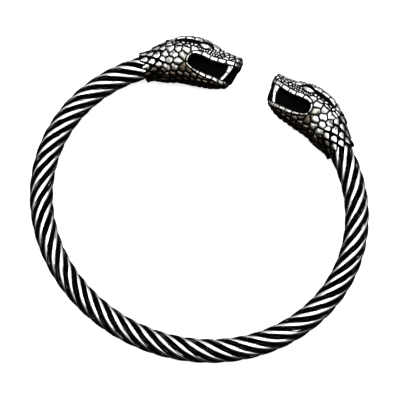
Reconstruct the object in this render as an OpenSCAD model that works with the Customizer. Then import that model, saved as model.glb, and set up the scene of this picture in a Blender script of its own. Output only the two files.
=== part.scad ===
// Open arm ring: a twisted wire rope of seven strands on a core wire, with a cast,
// open-mouthed serpent head on each end.
// It lies on its side as it rests by itself: +Z up, the opening toward +Y, and the
// origin on the floor at the middle of its footprint. Lengths are in millimetres.

/* [Ring] */
// Half of the ring's long axis, to the centre line of the rope
ring_half_long = 35.2; // [32:0.1:42]
// Half of the ring's short axis, to the centre line of the rope
ring_half_short = 31.1; // [28:0.1:36]
// Opening between the two snouts, along the centre line
snout_gap = 7.6; // [5:0.1:14]

/* [Rope] */
// Diameter over the strands
rope_d = 5.2; // [4.4:0.1:6]
// Length of rope in which a strand goes once round
rope_lay = 25.4; // [22:0.1:32]
// Gap that neighbouring strands keep, and strands and core
strand_gap = 0.05; // [0.04:0.01:0.1]

/* [Head] */
// Length of a head along the centre line, from the notches of its rim to the snout
head_len = 21.2; // [20:0.1:26]
// Height of a head from jaw to crown, across the ring's band
head_h = 10.9; // [9.6:0.1:13]
// Width of a head over its cheeks
head_w = 9.2; // [8.4:0.1:11]
// Metal round the rope at the neck rim
neck_wall = 0.7; // [0.5:0.05:1]
// Length of the points of the neck's scales, which lap over the rope at the rim
scale_point_len = 1; // [0.8:0.1:1.3]
// Depth of rope inside the neck
socket_depth = 4.6; // [3:0.1:6]
// Gap between the rope and the neck's bore
fit_gap = 0.08; // [0.05:0.01:0.15]

/* [Mouth] */
// Length of the mouth from its back corner to the snout
mouth_len = 11.2; // [10:0.1:12]
// Height of the open mouth
mouth_h = 4.6; // [3.6:0.1:5.2]
// Thickness of the metal that closes the mouth at the middle
web_t = 2.2; // [1.6:0.1:3]
// Diameter of a fang at its root
fang_d = 1.5; // [1:0.1:1.8]
// Length of an eye
eye_len = 2.4; // [1.8:0.1:3]
// Height of an eye
eye_h = 1.2; // [0.9:0.1:1.5]

/* [Relief] */
// Height of the scales, plates and lips above the skin
relief = 0.25; // [0.15:0.05:0.35]
// Length of a cheek scale along the head
cheek_scale_len = 2.5; // [2:0.1:3]
// Height of a cheek scale across the head
cheek_scale_h = 2.1; // [1.6:0.1:2.4]
// Distance from one band of neck scales to the next
neck_scale_step = 1.6; // [1.4:0.1:1.8]
// Gap between neighbouring cheek scales
scale_gap = 0.3; // [0.2:0.05:0.5]

/* [Hidden] */

polished_steel = [0.86, 0.86, 0.86];
cast_steel = [0.72, 0.72, 0.73];
core_steel = [0.45, 0.45, 0.46];

// Facets of the rope's wires
strand_count = 7;
strand_sides = 6;
rings_in_a_lay = 13;
core_sides = 8;
core_rings = 40;
// How much further out the corners of a strand's facets lie than its round wire, so
// that the facets hold as much metal
facet_share = sqrt(2 * PI / strand_sides / sin(360 / strand_sides));

// Strands, as thick as the rope, its lay and its gaps allow. The bend of the ring crowds
// them on its inner side, and flat facets cut a little inside a curve.
rope_r = rope_d / 2;
tightest_bend = pow(ring_half_short, 2) / ring_half_long;
path_share = 0.73;
inner_lay = rope_lay * (1 - path_share * rope_r / tightest_bend);
lay_angle = atan(PI * path_share * rope_d / inner_lay);
neighbour_share = sin(180 / strand_count) * cos(lay_angle);
facet_sag = path_share * rope_r * (1 - cos(180 / rings_in_a_lay));
strand_d = (2 * neighbour_share * (rope_r - facet_sag) - strand_gap) / (1 + neighbour_share);
strand_r = strand_d / 2;
strand_path_r = rope_r - strand_r;
inner_flat = facet_share * strand_r * cos(180 / strand_sides);
core_r = strand_path_r - facet_sag - inner_flat - strand_gap;
// How far the slanted end of a strand reaches past the end of the rope
end_slant = facet_share * strand_r * sin(lay_angle);

// Head, from the rope and its own sizes
neck_bore_r = rope_r + fit_gap;
neck_r = neck_bore_r + neck_wall;
head_sides = 24;
bore_rings = 4;
bore_sides = 16;
// How deep the plates are rooted in the skin, as a multiple of their height
root_depth = 1.4;

// Sections of a head from rim to snout. along is a share of head_len. own says how far
// the section has left the round neck. crown and jaw are shares of head_h, and half a
// share of half of head_w. square is the power of the section's rounded outline, and
// lean how far its lower edge lies back, as a share of its depth.
ALONG = 0; OWN = 1; CROWN = 2; JAW = 3; HALF = 4; SQUARE = 5; LEAN = 6;
head_sections = [
    [0.00, 0.0, 0.320, 0.330, 0.76, 2.0, 0.00],
    [0.08, 0.5, 0.362, 0.368, 0.82, 2.0, 0.00],
    [0.20, 1.0, 0.407, 0.387, 0.89, 2.1, 0.00],
    [0.31, 1.0, 0.462, 0.398, 0.95, 2.3, 0.00],
    [0.41, 1.0, 0.494, 0.430, 1.00, 2.5, 0.00],
    [0.51, 1.0, 0.480, 0.465, 0.99, 2.6, 0.00],
    [0.61, 1.0, 0.438, 0.485, 0.94, 2.6, 0.00],
    [0.70, 1.0, 0.357, 0.495, 0.87, 2.6, 0.02],
    [0.79, 1.0, 0.281, 0.485, 0.80, 2.5, 0.05],
    [0.87, 1.0, 0.245, 0.460, 0.72, 2.4, 0.10],
    [0.93, 1.0, 0.230, 0.430, 0.63, 2.4, 0.16],
    [0.98, 1.0, 0.216, 0.385, 0.50, 2.3, 0.20],
    [1.00, 1.0, 0.165, 0.340, 0.30, 2.2, 0.22]
];

// Edge of the mouth, upper then lower. back is a share of mouth_len from the snout's
// end of it, and up a share of mouth_h from the mouth's lower edge at its front.
mouth_upper = [
    [1.00, 0.62], [0.97, 0.88], [0.88, 1.02], [0.72, 0.94], [0.54, 0.80], [0.36, 0.76],
    [0.16, 0.79], [-0.10, 0.84]
];
mouth_lower = [
    [-0.10, 0.00], [0.20, 0.00], [0.42, 0.06], [0.62, 0.13], [0.82, 0.26], [0.96, 0.46]
];
// Height of the mouth's lower edge, as a share of head_h from the centre line
mouth_floor = -0.35;

function mix(a, b, share) = a + (b - a) * share;
function unit(v) = v / norm(v);
function signed_power(x, power) = sign(x) * pow(abs(x), power);

// Centre line of the ring: an oval, with turn 0 at the middle of the opening
function oval(turn) = [ring_half_long * sin(turn), ring_half_short * cos(turn), 0];
function oval_out(turn) = unit([sin(turn) / ring_half_long, cos(turn) / ring_half_short, 0]);
turn_step = 2;
arc_table = [
    for (turn = 0, run = 0; turn <= 360; run = run + norm(oval(turn + turn_step) - oval(turn)),
        turn = turn + turn_step) [run, turn]
];
loop_len = arc_table[len(arc_table) - 1][0];
function turn_at(run) = lookup(run, arc_table);

// A point beside the centre line: run along it from the middle of the opening, out
// across the ring's band, and up along Z
function beside(run, out, up) =
    let (turn = turn_at(run))
    oval(turn) + out * oval_out(turn) + [0, 0, up];

// The rope ends short of the bottom of each socket
rope_from = snout_gap / 2 + head_len - socket_depth;
rope_to = loop_len - rope_from;
socket_from = rope_from - end_slant - fit_gap;
strand_rings = 1 + ceil((rope_to - rope_from) / rope_lay * rings_in_a_lay);

// Head: values of a section at any place along it
function column(along, name) = lookup(along, [for (row = head_sections) [row[ALONG], row[name]]]);
function crown_at(along) = mix(neck_r, head_h * column(along, CROWN), column(along, OWN));
function jaw_at(along) = mix(neck_r, head_h * column(along, JAW), column(along, OWN));
function half_at(along) = mix(neck_r, head_w / 2 * column(along, HALF), column(along, OWN));

// A point in a head's own terms: along from rim to snout, out and up in millimetres
function head_point(along, out, up) =
    let (back = column(along, LEAN) * (crown_at(along) - out))
    beside(snout_gap / 2 + head_len * (1 - along) + back, out, up);

// A point on a head's skin: side 0 is its flank, 90 its crown and -90 its jaw.
// lift raises it from the skin.
function skin(along, side, lift = 0) =
    let (
        tall = (crown_at(along) + jaw_at(along)) / 2,
        middle = (crown_at(along) - jaw_at(along)) / 2,
        half = half_at(along),
        power = 2 / column(along, SQUARE),
        across = signed_power(cos(side), power),
        high = signed_power(sin(side), power),
        out = unit([cos(side) / half, sin(side) / tall])
    )
    head_point(along, middle + tall * high + lift * out.y, half * across + lift * out.x);

// The side on which the skin has a given height across the band
function side_at(along, out) =
    let (
        tall = (crown_at(along) + jaw_at(along)) / 2,
        middle = (crown_at(along) - jaw_at(along)) / 2,
        high = max(-1, min(1, (out - middle) / tall))
    )
    asin(signed_power(high, column(along, SQUARE) / 2));

// A closed solid through rings of points, each with the same number of points
module loft(rings) {
    sides = len(rings[0]);
    last = len(rings) - 1;
    middles = [for (ring = [rings[0], rings[last]]) [for (p = ring) 1] * ring / sides];
    points = concat([for (ring = rings) each ring], middles);
    first_middle = len(points) - 2;
    walls = [
        for (i = [0:last - 1], j = [0:sides - 1])
            let (a = i * sides + j, b = i * sides + (j + 1) % sides)
            each [[a, b + sides, b], [a, a + sides, b + sides]]
    ];
    ends = [
        for (j = [0:sides - 1])
            let (k = (j + 1) % sides)
            each [[first_middle, j, k], [first_middle + 1, last * sides + k, last * sides + j]]
    ];
    polyhedron(points = points, faces = concat(walls, ends), convexity = 6);
}

// The convex solid over a handful of points
module over(points) {
    hull() polyhedron(points = points, faces = [[for (i = [0:len(points) - 1]) i]]);
}

// Rings round the centre line, for a tube or a bore that follows it
function tube_rings(from, to, count, radius, sides) = [
    for (i = [0:count - 1])
        let (run = mix(from, to, i / (count - 1)))
        [for (j = [0:sides - 1])
            let (a = 360 * (j + 0.5) / sides)
            beside(run, radius * cos(a), radius * sin(a))]
];

// Centre of a strand at a place along the rope. Strands wind right-handed.
function strand_centre(run, phase) =
    let (a = phase + 360 * run / rope_lay)
    beside(run, strand_path_r * cos(a), strand_path_r * sin(a));

module strand(index) {
    phase = 360 * index / strand_count;
    facet_r = facet_share * strand_r;
    probe = 0.1;
    rings = [
        for (i = [0:strand_rings - 1])
            let (
                run = mix(rope_from, rope_to, i / (strand_rings - 1)),
                centre = strand_centre(run, phase),
                ahead = unit(strand_centre(run + probe, phase) - strand_centre(run - probe, phase)),
                outward = unit(centre - beside(run, 0, 0)),
                across = unit(cross(ahead, outward)),
                level = unit(cross(across, ahead))
            )
            [for (j = [0:strand_sides - 1])
                let (a = 360 * (j + 0.5) / strand_sides)
                centre + facet_r * (cos(a) * level + sin(a) * across)]
    ];
    color(polished_steel) loft(rings);
}

module core_wire() {
    color(core_steel) loft(tube_rings(rope_from, rope_to, core_rings, core_r, core_sides));
}

// A raised plate: its outline is a list of [along, side] corners, and its top is the
// same outline drawn in
module plate(corners, lift) {
    middle = [for (c = corners) 1] * corners / len(corners);
    draw_in = 0.22;
    over(concat(
        [for (c = corners) skin(c.x, c.y, -root_depth * relief)],
        [for (c = corners) let (d = mix(c, middle, draw_in)) skin(d.x, d.y, lift)]
    ));
}

// Single scales on a flank, above the back of the mouth and along the lower jaw: where
// they are along the head, and on which side
PLACE = 0; SIDE = 1;
single_scales = [[0.54, 36], [0.57, -56], [0.67, -56], [0.77, -56]];
scale_outline = [[-1, 0], [-0.5, 1], [0.5, 1], [1, 0], [0.5, -1], [-0.5, -1]];

module flank_scales() {
    half_len = (cheek_scale_len - scale_gap) / head_len / 2;
    for (row = single_scales) {
        girth = PI * (crown_at(row[PLACE]) + jaw_at(row[PLACE]) + 2 * half_at(row[PLACE])) / 2;
        half_side = 180 * (cheek_scale_h - scale_gap) / girth;
        plate([for (c = scale_outline)
            [row[PLACE] + c.x * half_len, row[SIDE] + c.y * half_side]], relief);
    }
}

// Rows of plates along the top edge of a flank: the brow, from behind the crown to the
// front of the eye, and the snout. from and to are shares of head_len, low and high the
// sides that the row spans, and rise its height as a multiple of relief.
PLATES = 0; ROW_FROM = 1; ROW_TO = 2; LOW = 3; HIGH = 4; RISE = 5;
top_rows = [
    [5, 0.36, 0.755, 50, 76, 1.4],
    [4, 0.79, 0.96, 52, 78, 1.0]
];
// Share of its pitch that a plate in a row leaves open
row_gap_share = 0.12;

// Where plate i of a row starts and ends
function plate_from(row, i) = mix(row[ROW_FROM], row[ROW_TO], (i + row_gap_share / 2) / row[PLATES]);
function plate_to(row, i) = mix(row[ROW_FROM], row[ROW_TO], (i + 1 - row_gap_share / 2) / row[PLATES]);

module top_plates() {
    for (row = top_rows, i = [0:row[PLATES] - 1]) {
        a = plate_from(row, i);
        b = plate_to(row, i);
        plate([[a, row[LOW]], [b, row[LOW]], [b, row[HIGH]], [a, row[HIGH]]], relief * row[RISE]);
    }
}

// Place of a mouth point in a head's own terms
function mouth_along(back) = 1 - mouth_len * back / head_len;
function mouth_out(up) = head_h * mouth_floor + mouth_h * up;

module mouth_recess() {
    edge = concat(mouth_upper, mouth_lower);
    translate([0, 0, web_t / 2])
        linear_extrude(head_w)
            polygon([
                for (e = edge)
                    let (p = head_point(mouth_along(e.x), mouth_out(e.y), 0)) [p.x, p.y]
            ]);
}

// Lips: rows of plates along the mouth's edges. from and to are shares of mouth_len, and
// low and high are heights from the edge as shares of mouth_h.
upper_lip = [7, 0.04, 0.98, 0.01, 0.23];
lower_lip = [5, 0.10, 0.86, -0.22, -0.01];
function reversed(list) = [for (i = [len(list) - 1:-1:0]) list[i]];

module lip(edge, row) {
    for (i = [0:row[PLATES] - 1]) {
        a = plate_from(row, i);
        b = plate_to(row, i);
        plate([
            for (c = [[a, row[LOW]], [b, row[LOW]], [b, row[HIGH]], [a, row[HIGH]]])
                let (along = mouth_along(c.x))
                [along, side_at(along, mouth_out(lookup(c.x, edge) + c.y))]
        ], relief);
    }
}

// A fang, from the upper lip to the lower. Its ends are places in the mouth, bow is how
// far its middle stands forward as a share of head_len, tip_share what the tip has of
// the root's diameter, and inset how far it lies inside the flank, in root diameters.
fang_root = [0.17, 0.92];
fang_tip = [0.24, 0.04];
fang_bow = 0.018;
fang_tip_share = 0.18;
fang_inset = 0.75;
fang_steps = 4;
fang_sides = 7;
module fang() {
    up = half_at(mouth_along(fang_root.x)) - fang_inset * fang_d;
    loft([
        for (i = [0:fang_steps])
            let (
                share = i / fang_steps,
                spot = mix(fang_root, fang_tip, share),
                along = mouth_along(spot.x) + fang_bow * sin(180 * share),
                radius = fang_d / 2 * mix(1, fang_tip_share, share)
            )
            [for (j = [0:fang_sides - 1])
                let (a = 360 * j / fang_sides)
                head_point(along + radius / head_len * sin(a), mouth_out(spot.y),
                    up + radius * cos(a))]
    ]);
}

// An eye, a smooth almond set level with the skin: where it is along the head, its
// height as a share of head_h, and how far it slants down toward the snout
eye_along = 0.64;
eye_height = 0.265;
eye_slant = 14;
eye_sides = 12;
module eye() {
    side = side_at(eye_along, eye_height * head_h);
    probe = 0.02;
    ahead = skin(eye_along + probe, side) - skin(eye_along - probe, side);
    translate(skin(eye_along, side))
        rotate([0, 0, atan2(ahead.y, ahead.x) - eye_slant])
            scale([eye_len / eye_h, 1, 1])
                rotate([0, 0, 180 / eye_sides])
                    sphere(d = eye_h, $fn = eye_sides);
}

module flank() {
    flank_scales();
    top_plates();
    lip(reversed(mouth_upper), upper_lip);
    lip(reversed(mouth_lower), lower_lip);
    eye();
}

// Places of the bands of overlapping scales, from the rim forward, in steps of
// neck_scale_step. The last two, on the cheeks, are longer.
scale_bands = [0, 1, 2, 3, 4, 5.25, 6.5];
scales_to = scale_bands[len(scale_bands) - 1] * neck_scale_step / head_len;

// A ring of points round the head that zigzags between the points of a band of scales
// and the notches between them. Every second band is turned by half a scale.
function scale_edge(band, lift) = [
    for (j = [0:head_sides - 1])
        let (back = (j + band) % 2 * scale_point_len)
        skin((scale_bands[band] * neck_scale_step - back) / head_len, 360 * j / head_sides, lift)
];

// The body of a head: bands of pointed scales from the rim to the cheeks, each a step
// down to the one behind it, and then the smooth sections of the jaws
module head_body() {
    bands = [
        for (band = [1:len(scale_bands) - 1])
            each [scale_edge(band, 0), scale_edge(band, relief)]
    ];
    sections = [
        for (row = head_sections)
            if (row[ALONG] > scales_to)
                [for (j = [0:head_sides - 1]) skin(row[ALONG], 360 * j / head_sides)]
    ];
    loft(concat([scale_edge(0, 0)], bands, sections));
}

// The socket that the rope's end lies in, open past the points of the rim
module neck_bore() {
    loft(tube_rings(socket_from, rope_from + socket_depth + 2 * scale_point_len,
        bore_rings, neck_bore_r / cos(180 / bore_sides), bore_sides));
}

// One cast head, at the end that the ring reaches by turning from +Y toward +X
module head() {
    color(cast_steel)
    union() {
        difference() {
            union() {
                head_body();
                for (flip = [0, 1]) mirror([0, 0, flip]) flank();
            }
            for (flip = [0, 1]) mirror([0, 0, flip]) mouth_recess();
            neck_bore();
        }
        for (flip = [0, 1]) mirror([0, 0, flip]) fang();
    }
}

// How the ring rests: on the cheeks of both heads and on the rope at the far side
cheek_along = 0.41;
cheek_run = snout_gap / 2 + head_len * (1 - cheek_along);
cheek_reach = head_w / 2 + relief;
cheek_y = oval(turn_at(cheek_run)).y;
rest_tilt = asin((cheek_reach - rope_r) / (cheek_y + ring_half_short));
rest_lift = rope_r + ring_half_short * sin(rest_tilt);
crown_y = max([for (row = head_sections) skin(row[ALONG], 90).y]) + relief;
middle_y = (crown_y - ring_half_short - rope_r) / 2;

module at_rest() {
    translate([0, -middle_y, rest_lift]) rotate([rest_tilt, 0, 0]) children();
}

at_rest() mirror([1, 0, 0]) head();  // head_left
at_rest() head();  // head_right
at_rest() core_wire();
at_rest() strand(0);  // strand_1
at_rest() strand(1);  // strand_2
at_rest() strand(2);  // strand_3
at_rest() strand(3);  // strand_4
at_rest() strand(4);  // strand_5
at_rest() strand(5);  // strand_6
at_rest() strand(6);  // strand_7
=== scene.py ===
"""Looks of an open arm ring: a twisted rope of steel wires with a cast serpent head on each end.

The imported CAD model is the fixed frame. Each strand of the rope and each head is replaced by
a finer mesh made from the same named sizes, and the core wire keeps its CAD mesh. Shapes are
worked out in millimetres in the ring's own plane and then laid down as the ring rests.

A run is a distance along the ring's centre line from the middle of the opening. Out is a
distance across the ring's band, outward from that line, and up a distance square to the band.
"""

import logging
import math
from dataclasses import dataclass, field
from enum import Enum

import bpy
import numpy as np
from mathutils import Matrix, Vector


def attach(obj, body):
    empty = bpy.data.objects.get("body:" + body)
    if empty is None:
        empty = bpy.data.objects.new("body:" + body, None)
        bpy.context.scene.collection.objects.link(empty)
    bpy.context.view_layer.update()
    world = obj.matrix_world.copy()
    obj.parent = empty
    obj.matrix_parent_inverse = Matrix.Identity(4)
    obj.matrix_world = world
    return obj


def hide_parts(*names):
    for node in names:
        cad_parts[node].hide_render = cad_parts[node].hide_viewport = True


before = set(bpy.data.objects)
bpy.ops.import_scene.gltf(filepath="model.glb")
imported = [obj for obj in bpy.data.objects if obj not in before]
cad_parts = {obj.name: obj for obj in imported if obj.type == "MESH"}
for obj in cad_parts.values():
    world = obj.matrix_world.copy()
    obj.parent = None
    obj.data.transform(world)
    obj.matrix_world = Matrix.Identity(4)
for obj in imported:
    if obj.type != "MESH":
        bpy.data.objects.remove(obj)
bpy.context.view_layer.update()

MM = 0.001
IMAGE_PX = 400
# A distance beyond any on the ring, in millimetres
FAR = 1e9
Numbers = np.ndarray | float
Pair = tuple[float, float]
# Where a feature of the relief is, how high it stands and how black it is
Patch = tuple[np.ndarray, np.ndarray, np.ndarray]
log = logging.getLogger("arm_ring")


def linear(colour: str) -> tuple[float, float, float, float]:
    """Turns an sRGB hex colour to the linear values that a shader takes.

    Args:
        colour: Six hex digits, such as "c8c6c2".

    Returns:
        Red, green, blue and an alpha of 1.
    """
    parts = [int(colour[i : i + 2], 16) / 255 for i in (0, 2, 4)]
    red, green, blue = [c / 12.92 if c <= 0.04045 else ((c + 0.055) / 1.055) ** 2.4 for c in parts]
    return red, green, blue, 1.0


def ramp(value: Numbers, low: float, high: float) -> Numbers:
    """Gives a smooth step from 0 at low to 1 at high."""
    share = np.clip((value - low) / (high - low), 0.0, 1.0)
    return share * share * (3 - 2 * share)


def mix(a: Numbers, b: Numbers, share: Numbers) -> Numbers:
    """Gives the value at a share of the way from a to b."""
    return a + (b - a) * share


def unit(vectors: np.ndarray) -> np.ndarray:
    """Scales each row of an array of vectors to length 1."""
    return vectors / np.maximum(np.linalg.norm(vectors, axis=-1, keepdims=True), 1e-12)


def smooth_lookup(at: np.ndarray, places: np.ndarray, values: np.ndarray) -> np.ndarray:
    """Reads a table with a smooth curve through its rows.

    Args:
        at: Places to read.
        places: Rising places of the table's rows.
        values: Their values.

    Returns:
        The values at the places read.
    """
    at = np.clip(at, places[0], places[-1])
    slopes = np.gradient(values, places)
    i = np.clip(np.searchsorted(places, at, side="right") - 1, 0, len(places) - 2)
    step = places[i + 1] - places[i]
    t = (at - places[i]) / step
    rise = values[i + 1] - values[i]
    a = slopes[i] * step - rise
    b = rise - slopes[i + 1] * step
    return mix(values[i], values[i + 1], t) + t * (1 - t) * ((1 - t) * a + t * b)


@dataclass(frozen=True)
class RingLine:
    """The oval centre line of the ring and the way it lies on the floor, in millimetres."""

    half_long: float = 35.2
    half_short: float = 31.1
    snout_gap: float = 7.6
    rest_tilt: float = 2.1903
    rest_lift: float = 3.7886
    middle_y: float = 0.1879
    table_steps: int = 2880

    def snout_run(self) -> float:
        """Gives the run at which a snout starts."""
        return self.snout_gap / 2

    def arc_table(self) -> tuple[np.ndarray, np.ndarray]:
        """Tables the run along the line against the turn round the ring.

        Returns:
            The runs, and the turns in radians that match them.
        """
        turn = np.linspace(-math.pi, 3 * math.pi, self.table_steps + 1)
        spots = np.stack([self.half_long * np.sin(turn), self.half_short * np.cos(turn)], axis=1)
        run = np.concatenate([[0.0], np.cumsum(np.linalg.norm(np.diff(spots, axis=0), axis=1))])
        return run - np.interp(0.0, turn, run), turn

    def length(self) -> float:
        """Gives the length of the closed oval."""
        run, turn = self.arc_table()
        return float(np.interp(2 * math.pi, turn, run))

    def beside(self, run: np.ndarray, out: np.ndarray, up: np.ndarray) -> np.ndarray:
        """Gives points beside the centre line.

        Args:
            run: Their runs, toward +X.
            out: Their outs.
            up: Their ups.

        Returns:
            The points, one in each row.
        """
        run_table, turn_table = self.arc_table()
        turn = np.interp(run, run_table, turn_table)
        sine, cosine = np.sin(turn), np.cos(turn)
        line = np.stack([self.half_long * sine, self.half_short * cosine], axis=-1)
        outward = unit(np.stack([sine / self.half_long, cosine / self.half_short], axis=-1))
        flat = line + outward * np.asarray(out)[..., None]
        level = np.broadcast_to(np.asarray(up, float), flat.shape[:-1])
        return np.concatenate([flat, level[..., None]], axis=-1)

    def rest(self) -> Matrix:
        """Gives the move that lays the ring down on the floor, in metres."""
        lift = Matrix.Translation(Vector((0.0, -self.middle_y, self.rest_lift)) * MM)
        return lift @ Matrix.Rotation(math.radians(self.rest_tilt), 4, "X")


LINE = RingLine()


class Slot(Enum):
    """Material slots of the record."""

    CAST = "cast_steel"
    STRAND = "strand_steel"


class Tone(Enum):
    """Names of the values that a mesh carries to its finish."""

    PATINA_AND_SHADOW = "patina_and_shadow"
    UNDERSIDE_REFLECTION = "underside_reflection"
    AROUND = "around"
    RUN = "run"


def tube_quads(rings: int, sides: int, reverse: bool = False) -> np.ndarray:
    """Numbers the quads of a tube whose corners are counted ring by ring.

    Args:
        rings: Rings along the tube.
        sides: Corners of a ring.
        reverse: Whether the quads face the other way.

    Returns:
        Four corner numbers in each row.
    """
    ring, side = np.meshgrid(np.arange(rings - 1), np.arange(sides), indexing="ij")
    here, beside = ring * sides + side, ring * sides + (side + 1) % sides
    quads = np.stack([here, here + sides, beside + sides, beside], axis=-1).reshape(-1, 4)
    return quads[:, [0, 3, 2, 1]] if reverse else quads


def make_piece(
    name: str, points: np.ndarray, faces: list[list[int]], tones: dict[Tone, np.ndarray]
) -> bpy.types.Object:
    """Makes a smooth mesh object at rest from points in the ring's plane.

    Args:
        name: Name of the piece.
        points: Corners in millimetres, one in each row.
        faces: Corner numbers of each face.
        tones: Values that each corner carries.

    Returns:
        The new object, in the scene.
    """
    mesh = bpy.data.meshes.new(name)
    mesh.from_pydata((points * MM).tolist(), [], faces)
    mesh.transform(LINE.rest())
    for tone, values in tones.items():
        layer = mesh.attributes.new(tone.value, "FLOAT", "POINT")
        layer.data.foreach_set("value", values.astype(np.float32))
    mesh.validate()
    mesh.shade_smooth()
    mesh.update()
    piece = bpy.data.objects.new(name, mesh)
    bpy.context.scene.collection.objects.link(piece)
    return piece


def add_node(
    tree: bpy.types.NodeTree, kind: str, settings: dict[str, object] | None = None, **inputs: object
) -> bpy.types.Node:
    """Adds a shader node with its settings, values and links.

    Args:
        tree: Node tree that takes the node.
        kind: Node type, such as "ShaderNodeMix".
        settings: Properties of the node itself.
        inputs: For each input, by its name in lower case with _ for spaces or by i and its
            number, a value or the output socket to link.

    Returns:
        The new node.
    """
    node = tree.nodes.new(kind)
    for key, value in (settings or {}).items():
        setattr(node, key, value)
    for key, value in inputs.items():
        if key[0] == "i" and key[1:].isdigit():
            socket = node.inputs[int(key[1:])]
        else:
            socket = next(s for s in node.inputs if s.name.lower().replace(" ", "_") == key)
        if isinstance(value, bpy.types.NodeSocket):
            tree.links.new(value, socket)
        else:
            socket.default_value = value
    return node


@dataclass(frozen=True)
class Finish:
    """A finish of the arm ring. Each kind adds its own nodes in paint."""

    name: str

    def material(self) -> bpy.types.Material:
        """Makes the material.

        Returns:
            The material, with its nodes.
        """
        made = bpy.data.materials.new(self.name)
        made.use_nodes = True
        tree = made.node_tree
        tree.nodes.clear()
        shader = add_node(tree, "ShaderNodeBsdfPrincipled")
        self.paint(tree, shader)
        add_node(tree, "ShaderNodeOutputMaterial", surface=shader.outputs["BSDF"])
        return made

    def paint(self, tree: bpy.types.NodeTree, shader: bpy.types.Node) -> None:
        """Adds the finish's own nodes.

        Args:
            tree: Node tree of the material.
            shader: Its surface shader.
        """
        raise NotImplementedError


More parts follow.
